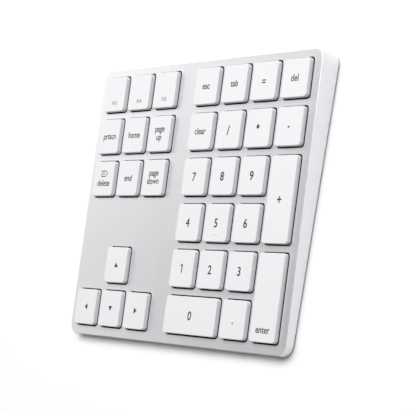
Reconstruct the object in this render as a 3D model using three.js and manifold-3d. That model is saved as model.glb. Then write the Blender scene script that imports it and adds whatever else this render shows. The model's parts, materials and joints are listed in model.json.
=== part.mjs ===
// Wireless numeric keypad with a navigation cluster on its left.
// Millimetres, +X right, +Y to the rear, +Z up, origin on the table under the middle of the case.
// Keys and the layers under them are laid out on the deck, the sloping top plane of the case:
// x to the right, v up the slope to the rear, w out of the deck, with w = 0 on its outer face.

import * as THREE from "three";
import { mergeVertices } from "three/addons/utils/BufferGeometryUtils.js";
import Module from "manifold-3d";

const wasm = await Module();
wasm.setup();

// Case: a wedge, low at the front, open below
const CASE_WIDTH = 150;
const CASE_DEPTH = 118.3;
const CASE_CORNER = 5;
const FRONT_WALL = 3.55;
const REAR_WALL = 8.6;
const WALL = 1.1;
const DECK_THICKNESS = 1;

// Bottom cover, let into the case
const FOOT_HEIGHT = 0.8;
const COVER_THICKNESS = 0.7;
const COVER_CLEARANCE = 0.2;

const TILT = Math.atan2(REAR_WALL - FRONT_WALL, CASE_DEPTH);
const DECK_CENTRE_Z = FOOT_HEIGHT + (FRONT_WALL + REAR_WALL) / 2;
const COVER_TOP = FOOT_HEIGHT + COVER_THICKNESS;
const REAR_FACE = CASE_DEPTH / 2;

// Keys
const PITCH = 19;
const NAVIGATION_COLUMNS = [-62.25, -43.25, -24.25];
const NUMBER_COLUMNS = [5.25, 24.25, 43.25, 62.25];
const REAR_ROW = 47.8;
const CAP = {
  size: 15.4,
  corner: 1.35,
  innerCorner: 0.7,
  top: 1.95,
  rim: -0.15,
  roof: 0.95,
  skirt: 0.9,
  chamfer: 0.28,
};
const HOLE_CLEARANCE = 0.6;
const HOLE_CORNER = 1.75;

// Layers under the deck, each from its lower to its upper face
const DOME_BASE = [-1.85, -1.65];
const MEMBRANE = [-2.2, -2];
const PLATE = [-2.8, -2.35];
const LAYER_MARGIN = 1;
const LAYER_CORNER = 5.5;
const LAYER_CLEARANCE = 0.4;
const THROUGH_LAYERS = [-8, 1];

// Rubber domes: outer and inner profile as radius and height
const DOME_OUTSIDE = [[2.8, DOME_BASE[1] - 0.1], [1.4, 0.1], [1.3, 0.8]];
const DOME_INSIDE = [[3.1, DOME_BASE[0] - 0.5], [1, 0]];
const DOME_SIDES = 8;

// Stabiliser wires of the wide and tall keys: places along the wire, across it and up
const WIRE = {
  radius: 0.4,
  halfLength: 13.5,
  barAcross: 5.9,
  barHeight: 0.35,
  pivotAcross: 1.1,
  pivotHeight: -1.1,
  pinLength: 1.9,
};
const HOOK = { thickness: 1, inset: 1.1, width: 2.4, top: -0.5, eyeRadius: 0.58 };
const HOOK_OPENING = [2.8, 4];

// The membrane's tail leaves the sheet in the gap between the key groups and dips to the board
const TAIL = {
  x: -9.5,
  width: 8,
  window: [25, 45],
  windowMargin: 1,
  overlap: 1,
  bend: [29, 35],
  low: -4.95,
  end: 38.35,
};

// Screws and their bosses: places on the table plane
const SCREW_PLACES = {
  rear_left: [-52.75, 38.27],
  rear_right: [52.75, 38.27],
  front_left: [-52.75, -18.68],
  front_right: [52.75, -18.68],
};
const SCREW = {
  headRadius: 1.5,
  headRecess: 0.45,
  shankRadius: 0.7,
  shankTop: 4.1,
  crossLength: 1.6,
  crossWidth: 0.34,
  crossDepth: 0.25,
  play: 0.25,
  headPlay: 0.05,
};
const BOSS = { radius: 1.8, neckRadius: 1.3, holeRadius: 0.85, overlap: 0.3, gap: 0.15 };

// Feet, in shallow recesses of the cover
const FOOT_PLACES = {
  front_left: [-62, -46],
  front_right: [62, -46],
  rear_left: [-62, 46],
  rear_right: [62, 46],
};
const FOOT = { radius: 5, chamfer: 0.25, recess: 0.3, play: 0.25, gap: 0.15 };

// Battery, in a low tray of the cover
const BATTERY = { x: [-40, 20], y: [1.5, 31], z: [1.7, 3.8], corner: 1.2 };
const TRAY = { play: 0.4, wall: 0.8, height: 1.2, root: 0.2 };

// Main board and what stands on it
const BOARD = { x: [-49, 11], y: [35, 56.8], z: [1.9, 2.7] };
const ON_BOARD = BOARD.z[1] + 0.05;
const RADIO = { place: [-40, 44], size: [13, 10], corner: 0.5, height: 1.6 };
const SOCKET = {
  width: 10.4,
  y: [38.6, 42],
  height: 1.5,
  mouthWidth: 9,
  mouthY: [38, 40.6],
  mouthHeight: [0.4, 1],
};

// Ports in the rear wall, all centred at one height above the table
const PORT_HEIGHT = 4.38;
const PORT_GAP = 0.3;
const THROUGH_REAR = [REAR_FACE - 4, REAR_FACE + 1];
const USB = {
  x: 0,
  shell: [8.94, 3.26],
  wall: 0.3,
  depth: 7.3,
  recess: 0.2,
  back: 0.6,
  tongue: [6.69, 0.7],
  tongueRecess: 0.9,
};
const SWITCH = {
  x: -22,
  travel: 3,
  body: [9.6, 3.1],
  y: [53.4, 57.3],
  trackFront: 54.4,
  trackHeight: 1.8,
  knob: [4, 1.8],
  knobCorner: 0.6,
  knobLength: 1.25,
  knobRecess: 0.15,
  neck: [2.4, 1.2],
  neckFront: 54.9,
};
const BUTTON = {
  x: -34,
  radius: 1.5,
  recess: 0.1,
  collarRadius: 2,
  collar: [57.4, 57.85],
  switchBody: [3.6, 2.6],
  switchY: [53.6, 56.2],
  plungerRadius: 0.7,
  plungerTip: 56.95,
};
const LIGHT = { x: -42, radius: 0.8, recess: 0.1, front: 55.8, leg: 1.4, lampHeight: 0.3 };

// Straight steps in a quarter turn, and sides of round pieces
const ARC_STEPS = 2;
const CAP_ARC_STEPS = 3;
const CASE_ARC_STEPS = 6;
const SLOT_ARC_STEPS = 4;
const ROUND_SIDES = 12;
const FOOT_SIDES = 20;
const WIRE_SIDES = 8;

const FINISHES = {
  aluminium: { color: 0xd9dadc, roughness: 0.38, metalness: 0.9 },
  keycap: { color: 0xf3f3f5, roughness: 0.5, metalness: 0 },
  cover: { color: 0xe9eaec, roughness: 0.6, metalness: 0 },
  steel: { color: 0xa9abae, roughness: 0.35, metalness: 1 },
  silicone: { color: 0x17181a, roughness: 0.7, metalness: 0 },
  film: { color: 0xc9c2ae, roughness: 0.4, metalness: 0 },
  circuit_board: { color: 0x1f5a3a, roughness: 0.5, metalness: 0 },
  battery_wrap: { color: 0x9aa0a8, roughness: 0.35, metalness: 0.6 },
  black_plastic: { color: 0x1b1c1e, roughness: 0.5, metalness: 0 },
  white_plastic: { color: 0xeceded, roughness: 0.5, metalness: 0 },
  clear_plastic: { color: 0xf5f7f8, roughness: 0.2, metalness: 0 },
  foot_rubber: { color: 0x8d9094, roughness: 0.85, metalness: 0 },
};

// Outlines

function arcPoint(centreX, centreY, radius, quarters) {
  const angle = quarters * (Math.PI / 2);
  const x = centreX + radius * Math.cos(angle);
  const y = centreY + radius * Math.sin(angle);
  return new THREE.Vector2(x, y);
}

function roundedOutline([width, depth], radius, steps = ARC_STEPS) {
  const corners = [[1, 1], [-1, 1], [-1, -1], [1, -1]];
  return corners.flatMap(([sideX, sideY], quarter) => {
    const x = sideX * (width / 2 - radius);
    const y = sideY * (depth / 2 - radius);
    const points = Array.from({ length: steps + 1 }, (_, step) => quarter + step / steps);
    return points.map((quarters) => arcPoint(x, y, radius, quarters));
  });
}

// A slot's round ends stop just short of half circles, so that no edge has zero length
function slot(size) {
  return roundedOutline(size, size[1] / 2 - 0.01, SLOT_ARC_STEPS);
}

function circle(radius) {
  const sides = Array.from({ length: ROUND_SIDES }, (_, side) => (4 * side) / ROUND_SIDES);
  return sides.map((quarters) => arcPoint(0, 0, radius, quarters));
}

// The two ends of a length about its middle
function spread(centre, size) {
  return [centre - size / 2, centre + size / 2];
}

function larger(size, margin) {
  return size.map((length) => length + 2 * margin);
}

// Solids

function solidOf(geometry) {
  const bare = geometry.clone();
  bare.deleteAttribute("normal");
  bare.deleteAttribute("uv");
  const merged = mergeVertices(bare);
  return new wasm.Manifold(
    new wasm.Mesh({
      numProp: 3,
      vertProperties: merged.attributes.position.array,
      triVerts: new Uint32Array(merged.index.array),
    }),
  );
}

function geometryOf(solid) {
  const { vertProperties, triVerts } = solid.getMesh();
  const indexed = new THREE.BufferGeometry();
  indexed.setAttribute("position", new THREE.BufferAttribute(vertProperties, 3));
  indexed.setIndex(new THREE.BufferAttribute(triVerts, 1));
  const faceted = indexed.toNonIndexed();
  faceted.computeVertexNormals();
  return faceted;
}

function union(solids) {
  return solids.reduce((all, solid) => all.add(solid));
}

function cut(solid, tools) {
  return tools.reduce((rest, tool) => rest.subtract(tool), solid);
}

function extruded(outline, depth) {
  return new THREE.ExtrudeGeometry(new THREE.Shape(outline), { depth, bevelEnabled: false });
}

// A prism of an outline, from one height to another
function prism(outline, [low, high]) {
  return solidOf(extruded(outline, high - low).translate(0, 0, low));
}

// A prism of an outline in x and z, running along y through the rear wall
function portPrism(outline, x, [front, rear]) {
  const upright = extruded(outline, rear - front).rotateX(Math.PI / 2);
  return solidOf(upright.translate(x, rear, PORT_HEIGHT));
}

// A box from its ranges along three axes
function block([x0, x1], [y0, y1], [z0, z1]) {
  const box = new THREE.BoxGeometry(x1 - x0, y1 - y0, z1 - z0);
  return solidOf(box.translate((x0 + x1) / 2, (y0 + y1) / 2, (z0 + z1) / 2));
}

// A box from two opposite corners
function boxBetween(low, high) {
  const [x, y, z] = low.map((value, axis) => [value, high[axis]]);
  return block(x, y, z);
}

// An upright cylinder
function post([x, y], radius, [low, high], sides = ROUND_SIDES) {
  const round = new THREE.CylinderGeometry(radius, radius, high - low, sides);
  return solidOf(round.rotateX(Math.PI / 2).translate(x, y, (low + high) / 2));
}

// A round bar between two points
function bar(start, end, radius) {
  const from = new THREE.Vector3(...start);
  const along = new THREE.Vector3(...end).sub(from);
  const length = along.length();
  const round = new THREE.CylinderGeometry(radius, radius, length, WIRE_SIDES);
  const up = new THREE.Vector3(0, 1, 0);
  const turn = new THREE.Quaternion().setFromUnitVectors(up, along.normalize());
  round.translate(0, length / 2, 0).applyQuaternion(turn);
  return solidOf(round.translate(from.x, from.y, from.z));
}

// A solid of revolution about z, closed by flat ends, from its radii and heights
function turned(profile, sides) {
  const ends = [profile[0], profile[profile.length - 1]].map(([, height]) => [0, height]);
  const outline = [ends[0], ...profile, ends[1]].map((point) => new THREE.Vector2(...point));
  return solidOf(new THREE.LatheGeometry(outline, sides).rotateX(Math.PI / 2));
}

const deckMatrix = new THREE.Matrix4().makeRotationX(TILT).setPosition(0, 0, DECK_CENTRE_Z);

function onDeck(solid) {
  return solid.transform(deckMatrix.elements);
}

// Key layout: each key's column centre, its row counted from the rear, and the pitches it covers

function rowOfKeys(names, columns, row) {
  return names.map((name, column) => ({ name, x: columns[column], row, across: 1, deep: 1 }));
}

const KEYS = [
  { name: "plus", x: NUMBER_COLUMNS[3], row: 2.5, across: 1, deep: 2 },
  { name: "enter", x: NUMBER_COLUMNS[3], row: 4.5, across: 1, deep: 2 },
  { name: "0", x: NUMBER_COLUMNS[0] + PITCH / 2, row: 5, across: 2, deep: 1 },
  { name: "point", x: NUMBER_COLUMNS[2], row: 5, across: 1, deep: 1 },
  { name: "up", x: NAVIGATION_COLUMNS[1], row: 4, across: 1, deep: 1 },
  ...rowOfKeys(["escape", "tab", "equals", "del"], NUMBER_COLUMNS, 0),
  ...rowOfKeys(["clear", "divide", "multiply", "minus"], NUMBER_COLUMNS, 1),
  ...rowOfKeys(["7", "8", "9"], NUMBER_COLUMNS, 2),
  ...rowOfKeys(["4", "5", "6"], NUMBER_COLUMNS, 3),
  ...rowOfKeys(["1", "2", "3"], NUMBER_COLUMNS, 4),
  ...rowOfKeys(["f13", "f14", "f15"], NAVIGATION_COLUMNS, 0),
  ...rowOfKeys(["print_screen", "home", "page_up"], NAVIGATION_COLUMNS, 1),
  ...rowOfKeys(["delete", "end", "page_down"], NAVIGATION_COLUMNS, 2),
  ...rowOfKeys(["left", "down", "right"], NAVIGATION_COLUMNS, 5),
].map((key) => ({
  ...key,
  v: REAR_ROW - key.row * PITCH,
  size: [CAP.size + (key.across - 1) * PITCH, CAP.size + (key.deep - 1) * PITCH],
}));

const WIDE_KEYS = KEYS.filter((key) => key.across > 1 || key.deep > 1);

// Keycap: a thin-walled cap, open below, with a small chamfer round its flat top

function keycap(size) {
  const [width, depth] = size;
  const top = roundedOutline(larger(size, -CAP.chamfer), CAP.corner - CAP.chamfer, CAP_ARC_STEPS);
  const body = new THREE.ExtrudeGeometry(new THREE.Shape(top), {
    depth: CAP.top - CAP.rim - CAP.chamfer,
    bevelThickness: CAP.chamfer,
    bevelSize: CAP.chamfer,
    bevelSegments: 1,
  });
  const outside = solidOf(body.translate(0, 0, CAP.rim));
  const inside = roundedOutline(larger(size, -CAP.skirt), CAP.innerCorner);
  const hollow = prism(inside, [2 * CAP.rim - CAP.chamfer, CAP.top - CAP.roof]);
  const below = block(spread(0, 2 * width), spread(0, 2 * depth), [-CAP.top, CAP.rim]);
  return cut(outside, [hollow, below]);
}

// Stabiliser wires and the hooks that they turn in

// A place given along a wide key's wire, across it and up, on the deck
function byWire(key, [along, across, w]) {
  const [right, rearward] = key.across > 1 ? [along, across] : [across, along];
  return [key.x + right, key.v + rearward, w];
}

function wireBar(key, start, end) {
  return bar(byWire(key, start), byWire(key, end), WIRE.radius);
}

// A long bar under the cap, with an arm and a pivot pin at each end
function stabiliser(key) {
  const { radius, halfLength, barAcross, barHeight, pivotAcross, pivotHeight } = WIRE;
  const overlap = radius / 2;
  const reach = halfLength + overlap;
  const long = wireBar(key, [-reach, barAcross, barHeight], [reach, barAcross, barHeight]);
  const arms = [-1, 1].map((side) => {
    const end = side * halfLength;
    const high = [end, barAcross + overlap, barHeight];
    return wireBar(key, high, [end, pivotAcross - overlap, pivotHeight]);
  });
  const pins = [-1, 1].map((side) => {
    const outer = [side * reach, pivotAcross, pivotHeight];
    const inner = [side * (halfLength - WIRE.pinLength), pivotAcross, pivotHeight];
    return wireBar(key, outer, inner);
  });
  return union([long, ...arms, ...pins]);
}

// Where a wide key's two hooks stand along its wire
const HOOKS_ALONG = [-1, 1].map((side) => side * (WIRE.halfLength - HOOK.inset));

function hook(key, along) {
  const [front, rear] = spread(WIRE.pivotAcross, HOOK.width);
  const [near, far] = spread(along, HOOK.thickness);
  const root = (PLATE[0] + PLATE[1]) / 2;
  const tab = boxBetween(byWire(key, [near, front, root]), byWire(key, [far, rear, HOOK.top]));
  const eyeEnds = spread(along, 2 * HOOK.thickness).map((place) =>
    byWire(key, [place, WIRE.pivotAcross, WIRE.pivotHeight]),
  );
  return tab.subtract(bar(...eyeEnds, HOOK.eyeRadius));
}

function hooksOf(key) {
  return HOOKS_ALONG.map((along) => hook(key, along));
}

// Layers: switch plate, membrane and dome sheet, with openings for hooks, bosses and the tail

function hookOpenings() {
  const [length, width] = HOOK_OPENING;
  return WIDE_KEYS.flatMap((key) =>
    HOOKS_ALONG.map((along) => {
      const [near, far] = spread(along, length);
      const [front, rear] = spread(WIRE.pivotAcross, width);
      const [low, high] = THROUGH_LAYERS;
      return boxBetween(byWire(key, [near, front, low]), byWire(key, [far, rear, high]));
    }),
  );
}

function bossOpenings(radius) {
  const places = Object.values(SCREW_PLACES).map(([x, y]) => [x, y / Math.cos(TILT)]);
  return places.map((place) => post(place, radius, THROUGH_LAYERS));
}

function tailWindow() {
  const across = spread(TAIL.x, TAIL.width + 2 * TAIL.windowMargin);
  return block(across, TAIL.window, THROUGH_LAYERS);
}

function layer(faces) {
  const size = larger([CASE_WIDTH, CASE_DEPTH], -WALL - LAYER_MARGIN);
  return prism(roundedOutline(size, LAYER_CORNER), faces);
}

function softLayer(faces) {
  const bosses = bossOpenings(BOSS.radius + LAYER_CLEARANCE);
  return cut(layer(faces), [...hookOpenings(), ...bosses, tailWindow()]);
}

function switchPlate() {
  const openings = [...bossOpenings(BOSS.neckRadius + LAYER_CLEARANCE), tailWindow()];
  return union([cut(layer(PLATE), openings), ...WIDE_KEYS.flatMap(hooksOf)]);
}

// The tail: a strip from the sheet's edge down to the board's socket
function membraneTail() {
  const [low, high] = MEMBRANE;
  const upper = [
    [TAIL.window[0] - TAIL.overlap, high],
    [TAIL.bend[0], high],
    [TAIL.bend[1], TAIL.low],
    [TAIL.end, TAIL.low],
  ];
  const lower = upper.map(([v, w]) => [v, w - (high - low)]).reverse();
  const profile = [...upper, ...lower].map((point) => new THREE.Vector2(...point));
  const axes = [[0, 1, 0], [0, 0, 1], [1, 0, 0]].map((axis) => new THREE.Vector3(...axis));
  const strip = extruded(profile, TAIL.width);
  strip.applyMatrix4(new THREE.Matrix4().makeBasis(...axes));
  return solidOf(strip.translate(TAIL.x - TAIL.width / 2, 0, 0));
}

function membraneCircuit() {
  return softLayer(MEMBRANE).add(membraneTail());
}

function domeSheet() {
  const overKeys = (solid) => KEYS.map(({ x, v }) => solid.translate([x, v, 0]));
  const domes = overKeys(turned(DOME_OUTSIDE, DOME_SIDES));
  const hollows = overKeys(turned(DOME_INSIDE, DOME_SIDES));
  return cut(union([softLayer(DOME_BASE), ...domes]), hollows);
}

// Top case: walls and deck in one piece, with key openings, ports and screw bosses

function keyOpening({ x, v, size }) {
  const outline = roundedOutline(larger(size, HOLE_CLEARANCE), HOLE_CORNER);
  return onDeck(prism(outline, spread(0, 4 * DECK_THICKNESS)).translate([x, v, 0]));
}

function portOpenings() {
  const [knobWidth, knobHeight] = SWITCH.knob;
  const travelled = [knobWidth + SWITCH.travel, knobHeight];
  return [
    portPrism(slot(larger(USB.shell, PORT_GAP)), USB.x, THROUGH_REAR),
    portPrism(slot(larger(travelled, PORT_GAP)), SWITCH.x, THROUGH_REAR),
    portPrism(circle(BUTTON.radius + PORT_GAP), BUTTON.x, THROUGH_REAR),
    portPrism(circle(LIGHT.radius + PORT_GAP), LIGHT.x, THROUGH_REAR),
  ];
}

// A boss under the deck: its shoulder holds the switch plate, its neck reaches the bottom cover
function screwBoss([x, y]) {
  const deck = DECK_CENTRE_Z + y * Math.tan(TILT);
  const root = deck - DECK_THICKNESS + BOSS.overlap;
  const shoulderEnd = deck + PLATE[1] + BOSS.gap + BOSS.radius * Math.tan(TILT);
  const shoulder = post([x, y], BOSS.radius, [shoulderEnd, root]);
  const neck = post([x, y], BOSS.neckRadius, [COVER_TOP + BOSS.gap, root]);
  const hole = post([x, y], BOSS.holeRadius, [0, root - DECK_THICKNESS]);
  return shoulder.add(neck).subtract(hole);
}

function topCase() {
  const size = [CASE_WIDTH, CASE_DEPTH];
  const outer = roundedOutline(size, CASE_CORNER, CASE_ARC_STEPS);
  const inner = roundedOutline(larger(size, -WALL), CASE_CORNER - WALL, CASE_ARC_STEPS);
  const reach = spread(0, 2 * CASE_WIDTH);
  const under = (w) => onDeck(block(reach, reach, [-CASE_WIDTH, w]));
  const body = prism(outer, [FOOT_HEIGHT, CASE_WIDTH]).intersect(under(0));
  const hollow = prism(inner, [0, CASE_WIDTH]).intersect(under(-DECK_THICKNESS));
  const shell = cut(body, [hollow, ...KEYS.map(keyOpening), ...portOpenings()]);
  return union([shell, ...Object.values(SCREW_PLACES).map(screwBoss)]);
}

// Bottom cover: a flat sheet with a battery tray, and recesses for feet and screw heads

function batteryTray() {
  const around = (margin) =>
    [BATTERY.x, BATTERY.y].map(([low, high]) => [low - margin, high + margin]);
  const height = [COVER_TOP - TRAY.root, COVER_TOP + TRAY.height];
  const outside = block(...around(TRAY.play + TRAY.wall), height);
  return outside.subtract(block(...around(TRAY.play), [0, 2 * height[1]]));
}

function bottomCover() {
  const inset = WALL + COVER_CLEARANCE;
  const size = larger([CASE_WIDTH, CASE_DEPTH], -inset);
  const outline = roundedOutline(size, CASE_CORNER - inset, CASE_ARC_STEPS);
  const sheet = prism(outline, [FOOT_HEIGHT, COVER_TOP]);
  const footRecesses = Object.values(FOOT_PLACES).map((place) =>
    post(place, FOOT.radius + FOOT.play, [0, FOOT_HEIGHT + FOOT.recess], FOOT_SIDES),
  );
  const screwHoles = Object.values(SCREW_PLACES).flatMap((place) => [
    post(place, SCREW.headRadius + SCREW.play, [0, FOOT_HEIGHT + SCREW.headRecess]),
    post(place, SCREW.shankRadius + SCREW.play, [0, 2 * COVER_TOP]),
  ]);
  return cut(sheet, [...footRecesses, ...screwHoles]).add(batteryTray());
}

function foot([x, y]) {
  const top = FOOT_HEIGHT + FOOT.recess - FOOT.gap;
  const profile = [
    [FOOT.radius - FOOT.chamfer, 0],
    [FOOT.radius, FOOT.chamfer],
    [FOOT.radius, top],
  ];
  return turned(profile, FOOT_SIDES).translate([x, y, 0]);
}

function screw(place) {
  const [x, y] = place;
  const { headPlay, crossLength, crossWidth } = SCREW;
  const head = [FOOT_HEIGHT + headPlay, FOOT_HEIGHT + SCREW.headRecess - headPlay];
  const cross = [[crossLength, crossWidth], [crossWidth, crossLength]].map(([long, wide]) =>
    block(spread(x, long), spread(y, wide), [0, head[0] + SCREW.crossDepth]),
  );
  const shank = post(place, SCREW.shankRadius, [(head[0] + head[1]) / 2, SCREW.shankTop]);
  return cut(post(place, SCREW.headRadius, head).add(shank), cross);
}

// Electronics

function mainBoard() {
  return block(BOARD.x, BOARD.y, BOARD.z);
}

function battery() {
  const size = [BATTERY.x, BATTERY.y].map(([low, high]) => high - low);
  const middle = [BATTERY.x, BATTERY.y].map(([low, high]) => (low + high) / 2);
  return prism(roundedOutline(size, BATTERY.corner), BATTERY.z).translate([...middle, 0]);
}

function radioModule() {
  const shield = prism(roundedOutline(RADIO.size, RADIO.corner), [0, RADIO.height]);
  return shield.translate([...RADIO.place, ON_BOARD]);
}

// The tail's socket, open to the front
function tailConnector() {
  const heights = SOCKET.mouthHeight.map((height) => ON_BOARD + height);
  const body = block(spread(TAIL.x, SOCKET.width), SOCKET.y, [ON_BOARD, ON_BOARD + SOCKET.height]);
  return body.subtract(block(spread(TAIL.x, SOCKET.mouthWidth), SOCKET.mouthY, heights));
}

// A steel shell, open to the rear, with a contact tongue in its middle
function usbReceptacle() {
  const mouth = REAR_FACE - USB.recess;
  const inner = mouth - USB.depth;
  const shell = portPrism(slot(USB.shell), USB.x, [inner, mouth]);
  const inside = slot(larger(USB.shell, -USB.wall));
  const hollow = portPrism(inside, USB.x, [inner + USB.back, mouth + USB.back]);
  const [width, thickness] = USB.tongue;
  const tongueY = [inner + USB.back / 2, mouth - USB.tongueRecess];
  const tongue = block(spread(USB.x, width), tongueY, spread(PORT_HEIGHT, thickness));
  return shell.subtract(hollow).add(tongue);
}

function powerSwitchBody() {
  const [width, height] = SWITCH.body;
  const body = block(spread(SWITCH.x, width), SWITCH.y, [ON_BOARD, ON_BOARD + height]);
  const trackWidth = SWITCH.neck[0] + SWITCH.travel + 2 * PORT_GAP;
  const track = block(
    spread(SWITCH.x, trackWidth),
    [SWITCH.trackFront, REAR_FACE],
    spread(PORT_HEIGHT, SWITCH.trackHeight),
  );
  return body.subtract(track);
}

// The slider stands at the left end of its track
function powerSwitchSlider() {
  const x = SWITCH.x - SWITCH.travel / 2;
  const rear = REAR_FACE - SWITCH.knobRecess;
  const front = rear - SWITCH.knobLength;
  const knobOutline = roundedOutline(SWITCH.knob, SWITCH.knobCorner, SLOT_ARC_STEPS);
  const knob = portPrism(knobOutline, x, [front, rear]);
  const [width, height] = SWITCH.neck;
  const neckY = [SWITCH.neckFront, (front + rear) / 2];
  return knob.add(block(spread(x, width), neckY, spread(PORT_HEIGHT, height)));
}

// A button with a collar behind the wall
function pairingButton() {
  const [inner, outer] = BUTTON.collar;
  const button = portPrism(circle(BUTTON.radius), BUTTON.x, [inner, REAR_FACE - BUTTON.recess]);
  return button.add(portPrism(circle(BUTTON.collarRadius), BUTTON.x, [inner, outer]));
}

function pairingSwitch() {
  const [width, height] = BUTTON.switchBody;
  const [front, rear] = BUTTON.switchY;
  const body = block(spread(BUTTON.x, width), [front, rear], [ON_BOARD, ON_BOARD + height]);
  const plungerY = [(front + rear) / 2, BUTTON.plungerTip];
  return body.add(portPrism(circle(BUTTON.plungerRadius), BUTTON.x, plungerY));
}

// A rod through the wall, turned down to a lamp on the board
function statusLightPipe() {
  const rod = portPrism(circle(LIGHT.radius), LIGHT.x, [LIGHT.front, REAR_FACE - LIGHT.recess]);
  const legY = [LIGHT.front, LIGHT.front + LIGHT.leg];
  const legZ = [ON_BOARD + LIGHT.lampHeight, PORT_HEIGHT];
  return rod.add(block(spread(LIGHT.x, LIGHT.leg), legY, legZ));
}

// Assembly

function piece(name, solid, finish) {
  const material = new THREE.MeshStandardMaterial(FINISHES[finish]);
  const mesh = new THREE.Mesh(geometryOf(solid), material);
  mesh.name = name;
  return mesh;
}

function keycaps() {
  return KEYS.map(({ name, x, v, size }) => {
    const mesh = piece(`key_${name}`, keycap(size), "keycap");
    mesh.position.set(x, v, 0);
    return mesh;
  });
}

function pieces(prefix, places, solidAt, finish) {
  const entries = Object.entries(places);
  return entries.map(([name, place]) => piece(`${prefix}_${name}`, solidAt(place), finish));
}

const keypad = new THREE.Group();
const deck = new THREE.Group();
deck.rotation.x = TILT;
deck.position.z = DECK_CENTRE_Z;
keypad.add(deck);

deck.add(
  ...keycaps(),
  piece("dome_sheet", domeSheet(), "silicone"),
  piece("membrane_circuit", membraneCircuit(), "film"),
  piece("switch_plate", switchPlate(), "steel"),
  ...WIDE_KEYS.map((key) => piece(`stabiliser_${key.name}`, stabiliser(key), "steel")),
);

keypad.add(
  piece("top_case", topCase(), "aluminium"),
  piece("bottom_cover", bottomCover(), "cover"),
  piece("main_board", mainBoard(), "circuit_board"),
  piece("battery", battery(), "battery_wrap"),
  piece("radio_module", radioModule(), "steel"),
  piece("tail_connector", tailConnector(), "white_plastic"),
  piece("usb_c_receptacle", usbReceptacle(), "steel"),
  piece("power_switch_body", powerSwitchBody(), "black_plastic"),
  piece("power_switch_slider", powerSwitchSlider(), "white_plastic"),
  piece("pairing_switch", pairingSwitch(), "black_plastic"),
  piece("pairing_button", pairingButton(), "white_plastic"),
  piece("status_light_pipe", statusLightPipe(), "clear_plastic"),
  ...pieces("foot", FOOT_PLACES, foot, "foot_rubber"),
  ...pieces("screw", SCREW_PLACES, screw, "steel"),
);

export default keypad;
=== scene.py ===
"""Looks of a wireless numeric keypad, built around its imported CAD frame.

Shapes are laid out in millimetres and turned into metres when a piece is made. Keys and the
layers under them are laid out on the deck, the sloping top plane of the case: x to the right,
v up the slope to the rear, w out of the deck, with w = 0 on its outer face.
"""

import json
import math

import bmesh
import bpy
from mathutils import Matrix, Quaternion, Vector
from mathutils.geometry import tessellate_polygon


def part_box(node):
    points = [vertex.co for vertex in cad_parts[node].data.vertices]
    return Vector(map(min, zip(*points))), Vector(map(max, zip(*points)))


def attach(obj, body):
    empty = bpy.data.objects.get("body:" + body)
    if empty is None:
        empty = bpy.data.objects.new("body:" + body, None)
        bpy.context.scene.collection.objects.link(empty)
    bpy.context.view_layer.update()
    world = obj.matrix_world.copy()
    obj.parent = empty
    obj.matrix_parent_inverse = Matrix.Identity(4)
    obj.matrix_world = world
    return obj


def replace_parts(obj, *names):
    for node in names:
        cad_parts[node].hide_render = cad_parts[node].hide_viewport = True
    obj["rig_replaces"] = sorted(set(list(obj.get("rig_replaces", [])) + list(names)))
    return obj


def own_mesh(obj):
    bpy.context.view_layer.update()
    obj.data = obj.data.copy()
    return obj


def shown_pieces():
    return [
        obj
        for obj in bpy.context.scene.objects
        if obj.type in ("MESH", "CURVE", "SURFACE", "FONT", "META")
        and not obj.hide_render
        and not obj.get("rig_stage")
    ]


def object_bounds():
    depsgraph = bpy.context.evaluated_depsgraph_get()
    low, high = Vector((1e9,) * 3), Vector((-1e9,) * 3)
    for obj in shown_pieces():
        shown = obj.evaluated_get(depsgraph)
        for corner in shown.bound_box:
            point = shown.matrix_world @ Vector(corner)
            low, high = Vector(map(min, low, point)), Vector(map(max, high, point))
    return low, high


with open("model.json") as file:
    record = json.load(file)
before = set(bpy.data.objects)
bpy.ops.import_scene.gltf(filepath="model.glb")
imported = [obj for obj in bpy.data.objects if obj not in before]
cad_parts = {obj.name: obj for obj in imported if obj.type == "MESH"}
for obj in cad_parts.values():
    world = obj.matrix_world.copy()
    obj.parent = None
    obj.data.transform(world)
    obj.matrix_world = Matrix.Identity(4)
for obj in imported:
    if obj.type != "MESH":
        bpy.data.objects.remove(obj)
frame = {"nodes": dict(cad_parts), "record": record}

CAD_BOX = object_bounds()
MM = 0.001

# Case
CASE_SIZE = (150, 118.3)
CASE_CORNER = 5
FRONT_WALL = 3.55
REAR_WALL = 8.6
WALL = 1.1
DECK_THICKNESS = 1
CASE_EDGE = 0.22
FOOT_HEIGHT = 0.8
COVER_TOP = 1.5
COVER_INSET = 1.3
RIM_BREAK = 0.12
TILT = math.atan2(REAR_WALL - FRONT_WALL, CASE_SIZE[1])
DECK_CENTRE_Z = FOOT_HEIGHT + (FRONT_WALL + REAR_WALL) / 2
REAR_FACE = CASE_SIZE[1] / 2

# Keys
CAP_CORNER = 1.35
CAP_TOP = 1.95
CAP_RIM = -0.15
CAP_ROOF = 0.95
CAP_SKIRT = 0.9
CAP_EDGE = 0.3
CAP_INNER_CORNER = 0.7
HOLE_CLEARANCE = 0.6
HOLE_CORNER = 1.75
HOLE_EDGE = 0.08

# Posts under the deck that the cover screws go into
BOSS_RADIUS = 1.3
BOSS_ROOT_RADIUS = 1.8
BOSS_BORE_RADIUS = 0.85
BOSS_BORE_STOP = 1
BOSS_SINK = 0.3
BOSS_CLEARANCE = 0.15

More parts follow.
